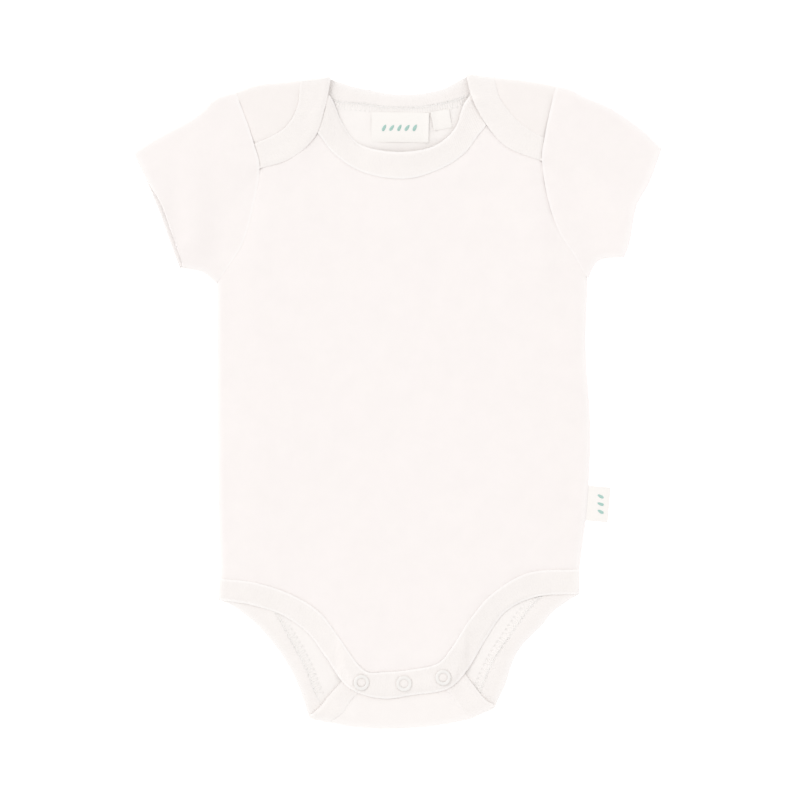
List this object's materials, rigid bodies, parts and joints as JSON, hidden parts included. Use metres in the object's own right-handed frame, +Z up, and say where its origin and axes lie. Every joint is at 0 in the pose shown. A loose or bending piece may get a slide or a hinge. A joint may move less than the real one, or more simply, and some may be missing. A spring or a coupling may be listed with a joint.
{
  "type": "baby bodysuit",
  "caption": "Short-sleeved baby bodysuit with an envelope neck, ribbed neck and leg bands and a snap-fastened crotch, laid flat on its back.",
  "frame": {"origin": "middle of the garment's box, on the surface that the garment lies on", "axes": "+X to the right across the chest as seen from above, +Y from the crotch towards the neck, +Z up, from the back panel to the front panel"},
  "size_m": [0.316, 0.3942, 0.0072],
  "materials": {
    "jersey": "fine cotton jersey, matt",
    "rib": "doubled cotton rib, matt",
    "snap": "pearly, satin",
    "label": "woven satin tape"
  },
  "bodies": {
    "root": {"back_panel": "jersey", "front_panel": "jersey", "sleeve_left": "jersey", "sleeve_right": "jersey", "neck_band_front": "rib", "neck_band_back": "rib", "leg_band_front": "rib", "leg_band_back": "rib", "snap_ring_1": "snap", "snap_ring_2": "snap", "snap_ring_3": "snap", "snap_stud_1": "snap", "snap_stud_2": "snap", "snap_stud_3": "snap", "neck_label": "label", "size_label": "label", "side_label": "label"}
  },
  "joints": []
}
